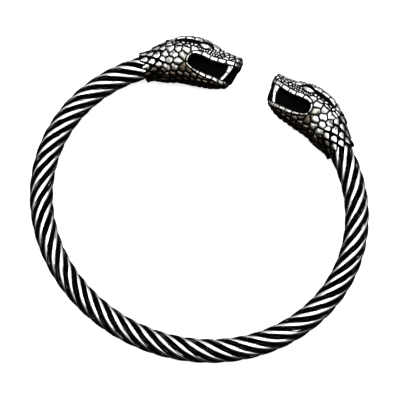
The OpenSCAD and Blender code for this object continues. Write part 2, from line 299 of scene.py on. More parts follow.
@dataclass(frozen=True)
class OxidisedSteel(Finish):
    """Stainless steel, blackened in a bath and then polished on what stands proud.

    The eye sees mirror-bright crests with hairline marks, and dull black in the recesses, whose black also
    carries painted shadow under the neck scales.
    Where the wheel doesn't reach well, under the jaws, the metal stays tan to brown.
    """

    bright: str = "e9e8e6"
    # tan and brown are the colours of the painted underside reflection
    tan: str = "838072"
    brown: str = "594c41"
    black: str = "050505"
    bright_roughness: float = 0.16
    black_roughness: float = 0.55
    # How strongly the painted underside reflection shows
    reflection_strength: float = 0.5
    # Polishing marks are nearer 0.05 mm apart, and are drawn this coarse so that they show
    mark_mm: float = 0.35
    mark_depth_mm: float = 0.004
    mark_strength: float = 0.4
    # How far the marks shift the edge of the black, and the values of patina and painted shadow that it
    # spans
    ragged: float = 0.2
    black_edge: Pair = (0.3, 0.7)
    # Thin clouds of black left on the polish: their strength, width and spread
    smudge: float = 0.0
    smudge_mm: float = 0.8
    smudge_spread: Pair = (0.42, 0.70)
    # Streaks left by drawing the wire: their strength, and their width and length, which
    # are drawn some three times as wide as real ones so that they show
    streak: float = 0.0
    streak_mm: Pair = (0.17, 3.2)

    def paint(self, tree: bpy.types.NodeTree, shader: bpy.types.Node) -> None:
        """Adds the polished and blackened parts, their marks and the brown of the bath.

        Args:
            tree: Node tree of the material.
            shader: Its surface shader.
        """
        place = add_node(tree, "ShaderNodeTexCoord").outputs["Object"]
        patina_and_shadow = add_node(tree, "ShaderNodeAttribute", {"attribute_name": Tone.PATINA_AND_SHADOW.value})
        underside_reflection = add_node(tree, "ShaderNodeAttribute", {"attribute_name": Tone.UNDERSIDE_REFLECTION.value})
        marks = add_node(
            tree,
            "ShaderNodeTexNoise",
            vector=place,
            scale=1 / (self.mark_mm * MM),
            detail=3.0,
            roughness=0.6,
        )
        shift = add_node(
            tree,
            "ShaderNodeMath",
            {"operation": "MULTIPLY_ADD"},
            i0=marks.outputs["Fac"],
            i1=self.ragged,
            i2=-self.ragged / 2,
        )
        edge = add_node(
            tree, "ShaderNodeMath", {"operation": "ADD"}, i0=patina_and_shadow.outputs["Fac"], i1=shift.outputs[0]
        )
        if self.streak:
            edge = self.drawn(tree, edge)
        share = add_node(
            tree,
            "ShaderNodeMapRange",
            {"interpolation_type": "SMOOTHSTEP"},
            value=edge.outputs[0],
            from_min=self.black_edge[0],
            from_max=self.black_edge[1],
        )
        if self.smudge:
            share = self.clouded(tree, place, share)
        # Painted reflection: tan, then brown, mixed in toward the underside
        tinted = add_node(
            tree, "ShaderNodeMath", {"operation": "MULTIPLY"}, i0=underside_reflection.outputs["Fac"], i1=self.reflection_strength
        )
        light = add_node(tree, "ShaderNodeMapRange", value=tinted.outputs[0], from_max=0.5)
        deep = add_node(tree, "ShaderNodeMapRange", value=tinted.outputs[0], from_min=0.5)
        colour = linear(self.bright)
        for cover, over in ((light, self.tan), (deep, self.brown), (share, self.black)):
            mixed = add_node(
                tree,
                "ShaderNodeMix",
                {"data_type": "RGBA"},
                i0=cover.outputs[0],
                i6=colour,
                i7=linear(over),
            )
            colour = mixed.outputs[2]
        gloss = add_node(
            tree,
            "ShaderNodeMapRange",
            value=share.outputs[0],
            to_min=self.bright_roughness,
            to_max=self.black_roughness,
        )
        bump = add_node(
            tree,
            "ShaderNodeBump",
            strength=self.mark_strength,
            distance=self.mark_depth_mm * MM,
            height=marks.outputs["Fac"],
        )
        shader.inputs["Metallic"].default_value = 1.0
        tree.links.new(colour, shader.inputs["Base Color"])
        tree.links.new(gloss.outputs[0], shader.inputs["Roughness"])
        tree.links.new(bump.outputs[0], shader.inputs["Normal"])

    def clouded(
        self, tree: bpy.types.NodeTree, place: bpy.types.NodeSocket, share: bpy.types.Node
    ) -> bpy.types.Node:
        """Leaves a thin grey cloud of the black here and there on the polish.

        Args:
            tree: Node tree of the material.
            place: Socket that gives texture places.
            share: Node that gives the share of black so far.

        Returns:
            The node that gives the share with its clouds.
        """
        cloud = add_node(
            tree, "ShaderNodeTexNoise", vector=place, scale=1 / (self.smudge_mm * MM), detail=2.0
        )
        cover = add_node(
            tree,
            "ShaderNodeMapRange",
            value=cloud.outputs["Fac"],
            from_min=self.smudge_spread[0],
            from_max=self.smudge_spread[1],
            to_max=self.smudge,
        )
        return add_node(
            tree, "ShaderNodeMath", {"operation": "MAXIMUM"}, i0=share.outputs[0], i1=cover.outputs[0]
        )

    def drawn(self, tree: bpy.types.NodeTree, edge: bpy.types.Node) -> bpy.types.Node:
        """Drags the edge of the black out into streaks along a drawn wire.

        Args:
            tree: Node tree of the material.
            edge: Node that gives the patina so far.

        Returns:
            The node that gives the patina with its streaks.
        """
        scaled = []
        for tone, size in zip((Tone.AROUND, Tone.RUN), self.streak_mm):
            value = add_node(tree, "ShaderNodeAttribute", {"attribute_name": tone.value})
            scaled.append(
                add_node(
                    tree, "ShaderNodeMath", {"operation": "DIVIDE"}, i0=value.outputs["Fac"], i1=size
                )
            )
        place = add_node(
            tree, "ShaderNodeCombineXYZ", x=scaled[0].outputs[0], y=scaled[1].outputs[0]
        )
        noise = add_node(
            tree, "ShaderNodeTexNoise", vector=place.outputs[0], scale=1.0, detail=2.0, roughness=0.5
        )
        centred = add_node(
            tree, "ShaderNodeMath", {"operation": "SUBTRACT"}, i0=noise.outputs["Fac"], i1=0.5
        )
        return add_node(
            tree,
            "ShaderNodeMath",
            {"operation": "MULTIPLY_ADD"},
            i0=centred.outputs[0],
            i1=self.streak,
            i2=edge.outputs[0],
        )


@dataclass(frozen=True)
class DrawnCoreSteel(Finish):
    """Drawn steel wire, blackened with the rope and never polished.

    The eye sees little of it, and that dull, dark and slightly uneven.
    """

    steel: str = "4c4a49"
    black: str = "100f0f"
    blotch_mm: float = 0.5
    roughness: Pair = (0.35, 0.6)

    def paint(self, tree: bpy.types.NodeTree, shader: bpy.types.Node) -> None:
        """Adds the uneven black of the bath.

        Args:
            tree: Node tree of the material.
            shader: Its surface shader.
        """
        place = add_node(tree, "ShaderNodeTexCoord").outputs["Object"]
        blotch = add_node(
            tree, "ShaderNodeTexNoise", vector=place, scale=1 / (self.blotch_mm * MM), detail=4.0
        )
        colour = add_node(
            tree,
            "ShaderNodeMix",
            {"data_type": "RGBA"},
            i0=blotch.outputs["Fac"],
            i6=linear(self.black),
            i7=linear(self.steel),
        )
        gloss = add_node(
            tree,
            "ShaderNodeMapRange",
            value=blotch.outputs["Fac"],
            to_min=self.roughness[0],
            to_max=self.roughness[1],
        )
        shader.inputs["Metallic"].default_value = 1.0
        tree.links.new(colour.outputs[2], shader.inputs["Base Color"])
        tree.links.new(gloss.outputs[0], shader.inputs["Roughness"])


@dataclass(frozen=True)
class PaleFloor(Finish):
    """Matt white studio board, lit a little from below as a light table is.

    The eye sees plain white, with a trace of tooth so that it isn't dead flat.
    """

    board: str = "f7f7f6"
    roughness: float = 0.9
    shine: float = 0.1
    # Real tooth is nearer 0.2 mm, and is drawn this coarse so that it shows
    tooth_mm: float = 1.2
    tooth_depth_mm: float = 0.02
    tooth_strength: float = 0.05
    lit_from_below: float = 0.45

    def paint(self, tree: bpy.types.NodeTree, shader: bpy.types.Node) -> None:
        """Adds the board's faint tooth.

        Args:
            tree: Node tree of the material.
            shader: Its surface shader.
        """
        place = add_node(tree, "ShaderNodeTexCoord").outputs["Object"]
        tooth = add_node(tree, "ShaderNodeTexNoise", vector=place, scale=1 / (self.tooth_mm * MM))
        bump = add_node(
            tree,
            "ShaderNodeBump",
            strength=self.tooth_strength,
            distance=self.tooth_depth_mm * MM,
            height=tooth.outputs["Fac"],
        )
        shader.inputs["Base Color"].default_value = linear(self.board)
        shader.inputs["Roughness"].default_value = self.roughness
        shader.inputs["Specular IOR Level"].default_value = self.shine
        shader.inputs["Emission Color"].default_value = linear(self.board)
        shader.inputs["Emission Strength"].default_value = self.lit_from_below
        tree.links.new(bump.outputs[0], shader.inputs["Normal"])


@dataclass
class Rope:
    """Seven wires laid right-handed round a core wire, ending inside the heads' necks.

    Sizes are in millimetres. A wire is bright up to bright_half_angle from its outermost
    line and black from black_half_angle on, in degrees. shade_levels are the heights of its
    outward direction, downward, between which a painted brown reflection of the underside
    sets in, and streak_offset gives each wire streaks of its own.
    """

    finish: bpy.types.Material
    core_finish: bpy.types.Material
    diameter: float = 5.2
    lay: float = 25.4
    wires: int = 7
    wire_d: float = 1.386
    head_len: float = 21.2
    socket_depth: float = 4.6
    steps: int = 620
    sides: int = 20
    bright_half_angle: float = 6.0
    black_half_angle: float = 46.0
    shade_levels: Pair = (-0.2, 0.9)
    streak_offset: float = 7.3
    pieces: list[bpy.types.Object] = field(default_factory=list)

    def centre(self, run: np.ndarray, phase: float) -> np.ndarray:
        """Gives the middle of a wire at places along the rope.

        Args:
            run: Their runs.
            phase: Turn of the wire round the rope where the run is 0, in degrees.

        Returns:
            The points, one in each row.
        """
        reach = (self.diameter - self.wire_d) / 2
        turn = np.radians(phase + 360 * run / self.lay)
        return LINE.beside(run, reach * np.cos(turn), reach * np.sin(turn))

    def build_wire(self, index: int) -> bpy.types.Object:
        """Sweeps one round wire along its helix.

        Args:
            index: Number of the wire, from 0.

        Returns:
            The wire's mesh object.
        """
        start = LINE.snout_run() + self.head_len - self.socket_depth
        run = np.linspace(start, LINE.length() - start, self.steps)
        middle = self.centre(run, 360 * index / self.wires)
        ahead = unit(np.gradient(middle, axis=0))
        outward = unit(middle - LINE.beside(run, 0 * run, 0 * run))
        across = unit(np.cross(ahead, outward))
        level = unit(np.cross(across, ahead))
        angle = 2 * math.pi * np.arange(self.sides) / self.sides
        skin = (
            middle[:, None, :]
            + self.wire_d / 2 * np.cos(angle)[None, :, None] * level[:, None, :]
            + self.wire_d / 2 * np.sin(angle)[None, :, None] * across[:, None, :]
        )
        points = np.concatenate([skin.reshape(-1, 3), middle[:1], middle[-1:]])
        faces = tube_quads(self.steps, self.sides, reverse=True).tolist()
        first, last = len(points) - 2, len(points) - 1
        rim = (self.steps - 1) * self.sides
        for corner in range(self.sides):
            after = (corner + 1) % self.sides
            faces.append([first, after, corner])
            faces.append([last, rim + corner, rim + after])
        signed = np.arctan2(np.sin(angle), np.cos(angle))
        black = ramp(np.degrees(np.abs(signed)), self.bright_half_angle, self.black_half_angle)
        tones = {
            Tone.PATINA_AND_SHADOW: np.tile(black, self.steps),
            # Painted reflection: brown toward the wire's downward-facing side
            Tone.UNDERSIDE_REFLECTION: np.repeat(ramp(-outward[:, 2], *self.shade_levels), self.sides),
            Tone.AROUND: np.tile(signed * self.wire_d / 2, self.steps) + self.streak_offset * index,
            Tone.RUN: np.repeat(run, self.sides),
        }
        tones = {tone: np.append(values, [1.0, 1.0]) for tone, values in tones.items()}
        return make_piece(f"rope_wire_{index + 1}", points, faces, tones)

    def build(self) -> None:
        """Makes the wires, each in place of its CAD strand."""
        for index in range(self.wires):
            wire = self.build_wire(index)
            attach(wire, "root")
            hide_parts(f"strand_{index + 1}")
            self.pieces.append(wire)

    def dress(self) -> None:
        """Gives the wires and the CAD core their finishes."""
        for wire in self.pieces:
            wire.data.materials.append(self.finish)
        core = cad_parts["core_wire"]
        core.data.materials.clear()
        core.data.materials.append(self.core_finish)


class Column(Enum):
    """Columns of the table of a head's sections.

    ALONG is a share of the length, from rim to snout. OWN says how far the section has left
    the round neck. CROWN and JAW are shares of the height, and HALF of half the width.
    SQUARE is the power of the outline, and LEAN how far its lower edge lies back.
    """

    ALONG = 0
    OWN = 1
    CROWN = 2
    JAW = 3
    HALF = 4
    SQUARE = 5
    LEAN = 6


SECTIONS = np.array(
    [
        [0.00, 0.0, 0.320, 0.330, 0.76, 2.0, 0.00],
        [0.08, 0.5, 0.362, 0.368, 0.82, 2.0, 0.00],
        [0.20, 1.0, 0.407, 0.387, 0.89, 2.1, 0.00],
        [0.31, 1.0, 0.462, 0.398, 0.95, 2.3, 0.00],
        [0.41, 1.0, 0.494, 0.430, 1.00, 2.5, 0.00],
        [0.51, 1.0, 0.480, 0.465, 0.99, 2.6, 0.00],
        [0.61, 1.0, 0.438, 0.485, 0.94, 2.6, 0.00],
        [0.70, 1.0, 0.357, 0.495, 0.87, 2.6, 0.02],
        [0.79, 1.0, 0.281, 0.485, 0.80, 2.5, 0.05],
        [0.87, 1.0, 0.245, 0.460, 0.72, 2.4, 0.10],
        [0.93, 1.0, 0.230, 0.430, 0.63, 2.4, 0.16],
        [0.98, 1.0, 0.216, 0.385, 0.50, 2.3, 0.20],
        [1.00, 1.0, 0.165, 0.340, 0.30, 2.2, 0.22],
    ]
)


@dataclass(frozen=True)
class HeadForm:
    """The smooth form of a head under its scales, in millimetres."""

    length: float = 21.2
    height: float = 10.9
    width: float = 9.2
    neck_r: float = 3.38
    bore_r: float = 2.68
    bore_depth: float = 4.8
    rim_back: float = 0.1

    def column(self, along: np.ndarray, name: Column) -> np.ndarray:
        """Reads one column of the section table at places along the head."""
        return smooth_lookup(along, SECTIONS[:, Column.ALONG.value], SECTIONS[:, name.value])

    def reach(self, along: np.ndarray, name: Column) -> np.ndarray:
        """Gives how far the crown, jaw or flank stands from the centre line.

        Args:
            along: Shares of the length, from rim to snout.
            name: CROWN, JAW or HALF.

        Returns:
            The distances.
        """
        size = self.width / 2 if name is Column.HALF else self.height
        return mix(self.neck_r, size * self.column(along, name), self.column(along, Column.OWN))

    def along(self, run: np.ndarray) -> np.ndarray:
        """Turns a run to a share of the length."""
        return 1 - (run - LINE.snout_run()) / self.length

    def notch_run(self) -> float:
        """Gives the run of the notches between the scales at the rim."""
        return LINE.snout_run() + self.length - self.rim_back

    def section(self, run: np.ndarray, side: np.ndarray) -> tuple[np.ndarray, np.ndarray]:
        """Gives the outline of the section at each run.

        Args:
            run: Runs of the points.
            side: Angles in degrees: 0 is the flank, 90 the crown and -90 the jaw.

        Returns:
            The outs and ups of the points.
        """
        along = self.along(run)
        crown, jaw = self.reach(along, Column.CROWN), self.reach(along, Column.JAW)
        power = 2 / self.column(along, Column.SQUARE)
        across, high = np.cos(np.radians(side)), np.sin(np.radians(side))
        out = (crown - jaw) / 2 + (crown + jaw) / 2 * np.sign(high) * np.abs(high) ** power
        return out, self.reach(along, Column.HALF) * np.abs(across) ** power

    def place(self, run: np.ndarray, out: np.ndarray, up: np.ndarray) -> np.ndarray:
        """Gives points of the head, leaned back as the snout is.

        Args:
            run: Their runs, before they are leaned back.
            out: Their outs.
            up: Their ups.

        Returns:
            The points in the ring's plane.
        """
        along = self.along(run)
        back = self.column(along, Column.LEAN) * (self.reach(along, Column.CROWN) - out)
        return LINE.beside(run + back, out, up)


@dataclass(frozen=True)
class FromMouth:
    """Where places on a flank lie from the edge of the mouth, in millimetres.

    distance is below 0 inside the mouth. past is the length of edge from the back corner to
    the place's nearest point, below 0 along the upper lip. nearest holds that point's run
    and out, and above says where the upper lip is the nearer one.
    """

    distance: np.ndarray
    past: np.ndarray
    nearest: np.ndarray
    above: np.ndarray


@dataclass(frozen=True)
class Mouth:
    """The outline of the open mouth on a flank, in millimetres.

    The points of the edge are shares of the mouth's length and height, from the upper front
    round the back corner to the lower front.
    """

    length: float = 11.2
    height: float = 4.35
    floor: float = -3.74
    web_t: float = 2.2
    upper: tuple[Pair, ...] = (
        (-0.10, 0.84),
        (0.16, 0.79),
        (0.36, 0.76),
        (0.54, 0.80),
        (0.72, 0.94),
        (0.88, 1.02),
        (0.97, 0.88),
        (1.00, 0.62),
    )
    lower: tuple[Pair, ...] = (
        (0.96, 0.46),
        (0.82, 0.26),
        (0.62, 0.13),
        (0.42, 0.06),
        (0.20, 0.00),
        (-0.10, 0.00),
    )
    fineness: int = 12
    corner_slack: float = 0.4

    def outline(self) -> np.ndarray:
        """Draws a smooth curve through the points of the edge.

        Returns:
            The run and the out of each place on it, in rows.
        """
        shares = np.array(self.upper + self.lower)
        run = LINE.snout_run() + self.length * shares[:, 0]
        out = self.floor + self.height * shares[:, 1]
        steps = np.arange(len(shares), dtype=float)
        fine = np.linspace(0, len(shares) - 1, (len(shares) - 1) * self.fineness + 1)
        return np.stack([smooth_lookup(fine, steps, values) for values in (run, out)], axis=1)

    def measure(self, run: np.ndarray, out: np.ndarray) -> FromMouth:
        """Measures places on the flank from the mouth's edge.

        Args:
            run: Their runs.
            out: Their outs.

        Returns:
            Where they lie.
        """
        edge = self.outline()
        start, step = edge[:-1], np.diff(edge, axis=0)
        size = np.linalg.norm(step, axis=1)
        so_far = np.concatenate([[0.0], np.cumsum(size)[:-1]])
        spot = np.stack([run.ravel(), out.ravel()], axis=1)
        best = np.full(len(spot), FAR)
        travelled = np.zeros(len(spot))
        nearest = np.zeros_like(spot)
        inside = np.zeros(len(spot), bool)
        for a, d, length, before in zip(start, step, size, so_far):
            gap = spot - a
            share = np.clip(gap @ d / length**2, 0.0, 1.0)
            distance = np.linalg.norm(gap - share[:, None] * d, axis=1)
            closer = distance < best
            best = np.where(closer, distance, best)
            travelled = np.where(closer, before + share * length, travelled)
            nearest = np.where(closer[:, None], a + share[:, None] * d, nearest)
        for (x0, y0), (x1, y1) in zip(edge, np.roll(edge, -1, axis=0)):
            crosses = (y0 > spot[:, 1]) != (y1 > spot[:, 1])
            if y0 != y1:
                inside ^= crosses & (spot[:, 0] < (x1 - x0) * (spot[:, 1] - y0) / (y1 - y0) + x0)
        corner = so_far[(len(self.upper) - 1) * self.fineness]
        above = travelled < corner + self.corner_slack
        return FromMouth(
            distance=np.where(inside, -best, best).reshape(run.shape),
            past=(travelled - corner).reshape(run.shape),
            nearest=nearest.reshape(*run.shape, 2),
            above=above.reshape(run.shape),
        )


@dataclass(frozen=True)
class Lips:
    """The plates along the mouth's edge, in millimetres.

    width and plate are given for the upper and the lower lip. The lips are narrower round
    the back corner, and widening says how far along the edge they take their full width.
    The lower lip flares to a shelf past shelf_from, and is low at the chin.
    """

    width: Pair = (1.05, 0.80)
    corner_width: float = 0.55
    widening: Pair = (0.6, 4.6)
    plate: Pair = (1.95, 1.75)
    rise: float = 0.26
    edge_in: float = 0.02
    rounding: Pair = (0.02, 0.26)
    cut: Pair = (0.02, 0.22)
    cut_depth: float = 0.22
    shelf: float = 0.45
    shelf_from: Pair = (2.0, 5.0)
    chin: Pair = (0.2, 2.2)
    chin_share: float = 0.25
    black_edge: Pair = (0.09, 0.20)

    def band(self, mouth: FromMouth) -> np.ndarray:
        """Gives the width of the lip beside each place."""
        full = np.where(mouth.above, *self.width)
        return mix(self.corner_width, full, ramp(np.abs(mouth.past), *self.widening))

    def shape(self, run: np.ndarray, mouth: FromMouth) -> Patch:
        """Works out the lips.

        Args:
            run: Runs of the places.
            mouth: Where they lie from the mouth.

        Returns:
            Where the lips are, how high they stand and how black they are.
        """
        band = self.band(mouth)
        step = np.where(mouth.above, *self.plate)
        turn = (np.abs(mouth.past) / step) % 1.0
        across = np.minimum(turn, 1 - turn) * step
        inner = np.minimum(mouth.distance - self.edge_in, band - mouth.distance)
        rounded = ramp(inner, *self.rounding)
        shelf = self.shelf * mouth.distance / band * ramp(mouth.past, *self.shelf_from)
        lift = (self.rise + np.where(mouth.above, 0.0, shelf)) * rounded
        lift -= self.cut_depth * (1 - ramp(across, *self.cut)) * rounded
        chin = mix(self.chin_share, 1.0, ramp(run - LINE.snout_run(), *self.chin))
        lift *= np.where(mouth.above, 1.0, chin)
        where = (mouth.distance > -0.001) & (mouth.distance < band)
        return where, lift, 1 - ramp(np.minimum(across, inner), *self.black_edge)


@dataclass(frozen=True)
class Brow:
    """A row of rectangular plates along the rounded edge of the crown, in millimetres.

    It narrows from half_width's first value at the eye to its second at the back, and its
    middle line lies inside_edge below the rounded edge.
    """

    run: Pair = (8.7, 17.6)
    half_width: Pair = (0.98, 0.66)
    inside_edge: float = 0.45
    plate: float = 1.78
    base: float = 0.14
    dome: float = 0.26
    rounding: Pair = (0.02, 0.30)
    black_edge: Pair = (0.06, 0.16)

    def inset(self, run: np.ndarray, from_edge: np.ndarray, eye_run: float) -> np.ndarray:
        """Gives how far inside the row's outline each place lies.

        Args:
            run: Runs of the places.
            from_edge: Their girths from the rounded edge.
            eye_run: Run of the eye's middle.

        Returns:
            The distances, below 0 outside the row.
        """
        half = mix(*self.half_width, ramp(run, eye_run, self.run[1]))
        inset = half - np.abs(from_edge + self.inside_edge)
        return np.minimum(inset, np.minimum(run - self.run[0], self.run[1] - run))

    def shape(self, run: np.ndarray, inset: np.ndarray) -> Patch:
        """Works out the plates.

        Args:
            run: Runs of the places.
            inset: From inset().

        Returns:
            Where the plates are, how high they stand and how black they are.
        """
        turn = ((run - self.run[0]) / self.plate) % 1.0
        edge = np.minimum(np.minimum(turn, 1 - turn) * self.plate, inset)
        lift = self.base + self.dome * ramp(edge, *self.rounding)
        return inset > 0, lift, 1 - ramp(edge, *self.black_edge)


@dataclass(frozen=True)
class Eye:
    """A plain almond eye in a black socket, in millimetres.

    The socket is wider than the eye by socket_margin, in length and height.
    """

    run: float = 11.58
    out: float = 2.89
    length: float = 2.6
    height: float = 1.05
    slant: float = 14.0
    socket_margin: Pair = (1.0, 0.60)
    socket_lift: float = -0.12
    sinks: Pair = (-0.05, 0.12)
    blackens: Pair = (-0.12, 0.0)
    dome: float = 0.46
    dome_power: float = 0.8
    set_back: float = 0.10
    black_edge: Pair = (0.0, 0.12)

    def almond(self, run: np.ndarray, out: np.ndarray, margin: Pair = (0.0, 0.0)) -> np.ndarray:
        """Gives the height of an almond-shaped hill over each place.

        Args:
            run: Runs of the places.
            out: Their outs.
            margin: What the almond has over the eye, in length and height.

        Returns:
            The heights: 1 in the middle, 0 on the outline and below 0 outside it.
        """
        turn = math.radians(self.slant)
        x, y = run - self.run, out - self.out
        x, y = x * math.cos(turn) + y * math.sin(turn), y * math.cos(turn) - x * math.sin(turn)
        return 1 - (2 * x / (self.length + margin[0])) ** 2 - np.abs(2 * y / (self.height + margin[1]))

    def shape(self, run: np.ndarray, out: np.ndarray) -> Patch:
        """Works out the eye.

        Args:
            run: Runs of the places.
            out: Their outs.

        Returns:
            Where the eye is, how high it stands and how black it is.
        """
        almond = self.almond(run, out)
        lift = self.dome * np.clip(almond, 0, 1) ** self.dome_power - self.set_back
        return almond > 0, lift, 1 - ramp(almond, *self.black_edge)


@dataclass(frozen=True)
class NeckScales:
    """Bands of pointed scales that overlap down the neck to the rim, in millimetres.

    In its methods from_tip is the distance back from a scale's tip as a share of its length,
    and off the distance from its middle line as a share of half its pitch. A scale widens to
    its fullness over its shoulder, by the two powers of its curve.
    """

    count: int = 12
    bands: int = 4
    starts: float = 20.7
    starts_slant: float = 0.12
    point: float = 0.9
    step: float = 1.42
    length: float = 2.8
    fullness: float = 0.95
    shoulder: float = 0.55
    curve: Pair = (1.6, 0.9)
    late: float = 0.2
    rise: float = 0.28
    thins: float = 0.9
    keel: float = 0.10
    keel_width: float = 0.5
    floor: float = -0.06
    rounding: float = 0.2
    overlap: float = 0.02
    # Each scale's bright part ends in a hollow painted black as the painted shadow of the scales over its
    # base, which curves round its point
    bright: float = 1.5
    bright_curve: float = 0.55
    hollow_fade: float = 0.25
    hollow_depth: float = 0.10
    black_edge: Pair = (0.22, 0.36)
    # Painted shadow: the black that a scale's point throws on what it laps over
    shadow_ahead: float = 0.12
    shadow_beside: float = 0.24
    shadow_fade: float = 0.16
    shadow_front: Pair = (-0.14, -0.07)
    shadow_back: float = 0.75

    def at(self, side: np.ndarray, band: int) -> tuple[np.ndarray, np.ndarray]:
        """Gives the number of the scale at each side, and the side's off.

        Args:
            side: Angles in degrees round the neck.
            band: Number of the band. Every second one is turned by half a scale.

        Returns:
            The numbers and the offs.
        """
        across = side / 360 * self.count + (0.5 if band % 2 == 0 else 0.0)
        return np.round(across).astype(int) % self.count, np.abs(across - np.round(across)) * 2

    def ogive(self, from_tip: np.ndarray) -> np.ndarray:
        """Gives a scale's half width at a share of its length, as a share of half the pitch."""
        before = (1 - np.clip(from_tip / self.shoulder, 0, 1)) ** self.curve[0]
        return self.fullness * (1 - before) ** self.curve[1]

    def shape(
        self, run: np.ndarray, side: np.ndarray, notch: float, seed: int
    ) -> tuple[np.ndarray, np.ndarray]:
        """Works out the scales.

        Args:
            run: Runs of the places.
            side: Their sides.
            notch: Run of the notches at the rim.
            seed: Seed of the small shifts of single scales.

        Returns:
            How high each place stands, and how black it is from patina in the gaps and from painted
            shadow.
        """
        chance = np.random.default_rng(seed)
        height = np.full(run.shape, self.floor)
        black = np.ones(run.shape)
        for band in range(self.bands + 1):
            scale, off = self.at(side, band)
            late = chance.uniform(-self.late, self.late, self.count)[scale] * min(band, 1)
            from_tip = (notch + self.point - band * self.step + late - run) / self.length
            within = self.ogive(from_tip) - off
            ridge = self.keel * np.clip(1 - off / self.keel_width, 0, 1)
            slope = self.rise * (1 - self.thins * from_tip) + ridge
            raised = slope * ramp(within, 0.0, self.rounding)
            mine = (within > 0) & (from_tip > 0) & (from_tip < 1)
            wins = mine & (raised > height - self.overlap)
            # Painted shadow that the point throws on the scales it laps over
            shadow = self.ogive(from_tip + self.shadow_ahead) + self.shadow_beside - off
            under = ramp(shadow, 0.0, self.shadow_fade) * ramp(from_tip, *self.shadow_front)
            black = np.maximum(black, under * (from_tip < self.shadow_back))
            # Painted shadow in the hollow at the scale's base
            from_bright = from_tip * self.length - self.bright_curve * off
            hollow_shadow = ramp(from_bright, self.bright, self.bright + self.hollow_fade)
            height = np.where(wins, raised - self.hollow_depth * hollow_shadow, height)
            black = np.where(wins, np.maximum(1 - ramp(within, *self.black_edge), hollow_shadow), black)
        return height, black


@dataclass(frozen=True)
class ScaleRow:
    """A row of evenly spaced scales on a flank, from its back end to its front end.

    Girths are distances in millimetres round the skin from the flank's middle line, toward
    the crown. Where hugs_edge is set, they are counted from the rounded edge between flank
    and crown. A scale that sinks is left black.
    """

    count: int
    run: Pair
    girth: Pair
    size: float
    rise: float
    hugs_edge: bool = False
    bead: bool = False


SCALE_ROWS = (
    ScaleRow(9, (17.6, 13.5), (4.15, 3.35), 0.08, -0.14),
    ScaleRow(7, (19.0, 13.5), (4.00, 3.00), 0.26, 0.14),
    ScaleRow(4, (20.9, 15.2), (3.55, 2.65), 0.55, 0.24),
    ScaleRow(5, (20.8, 13.7), (2.35, 1.70), 0.85, 0.21),
    ScaleRow(3, (20.0, 16.3), (1.15, 0.55), 0.85, 0.21),
    ScaleRow(3, (21.1, 17.3), (-0.15, -0.95), 0.90, 0.22),
    ScaleRow(3, (20.0, 16.2), (-1.75, -2.30), 0.80, 0.26),
    ScaleRow(8, (13.0, 9.1), (2.42, 2.05), 0.30, 0.26, bead=True),
    ScaleRow(8, (12.7, 8.8), (1.84, 1.52), 0.30, 0.24, bead=True),
    ScaleRow(6, (11.8, 9.0), (1.26, 1.05), 0.28, 0.22, bead=True),
    ScaleRow(4, (8.3, 4.8), (2.30, 2.10), 0.36, 0.20),
    ScaleRow(4, (7.9, 4.5), (1.66, 1.55), 0.36, 0.18),
    ScaleRow(3, (8.3, 5.2), (1.12, 1.10), 0.34, 0.18),
    ScaleRow(4, (8.4, 5.0), (0.0, 0.0), 0.45, 0.22, hugs_edge=True),
)


@dataclass(frozen=True)
class Scales:
    """The scales of a flank: an array of their middles, as run and girth, and their sizes,
    rises and whether they are beads, each scale at the same place in all four."""

    middle: np.ndarray
    size: np.ndarray
    rise: np.ndarray
    bead: np.ndarray


@dataclass(frozen=True)
class FillScales:
    """The plain scales that fill the crown line, jaw and cheeks between the rows."""

    crown_run: Pair = (5.2, 21.5)
    crown_pitch: float = 1.75
    crown_size: float = 0.8
    run: Pair = (4.4, 23.0)
    run_pitch: float = 1.7
    girth: Pair = (-9.5, 9.0)
    girth_pitch: float = 1.35
    slant: float = 0.25
    size: float = 0.7
    rise: float = 0.22
    # How near to the crown line, the jaw line and another scale one may lie
    from_crown: float = 0.6
    past_jaw: float = 0.2
    apart: float = 1.15
    # The flank between these is left to the rows: a girth, and a distance from the edge
    flank_low: float = -2.4
    below_edge: float = 0.4
    # Spread of the small shifts of all scales, and the size that takes the whole of it
    scatter: float = 0.06
    scatter_size: float = 0.6


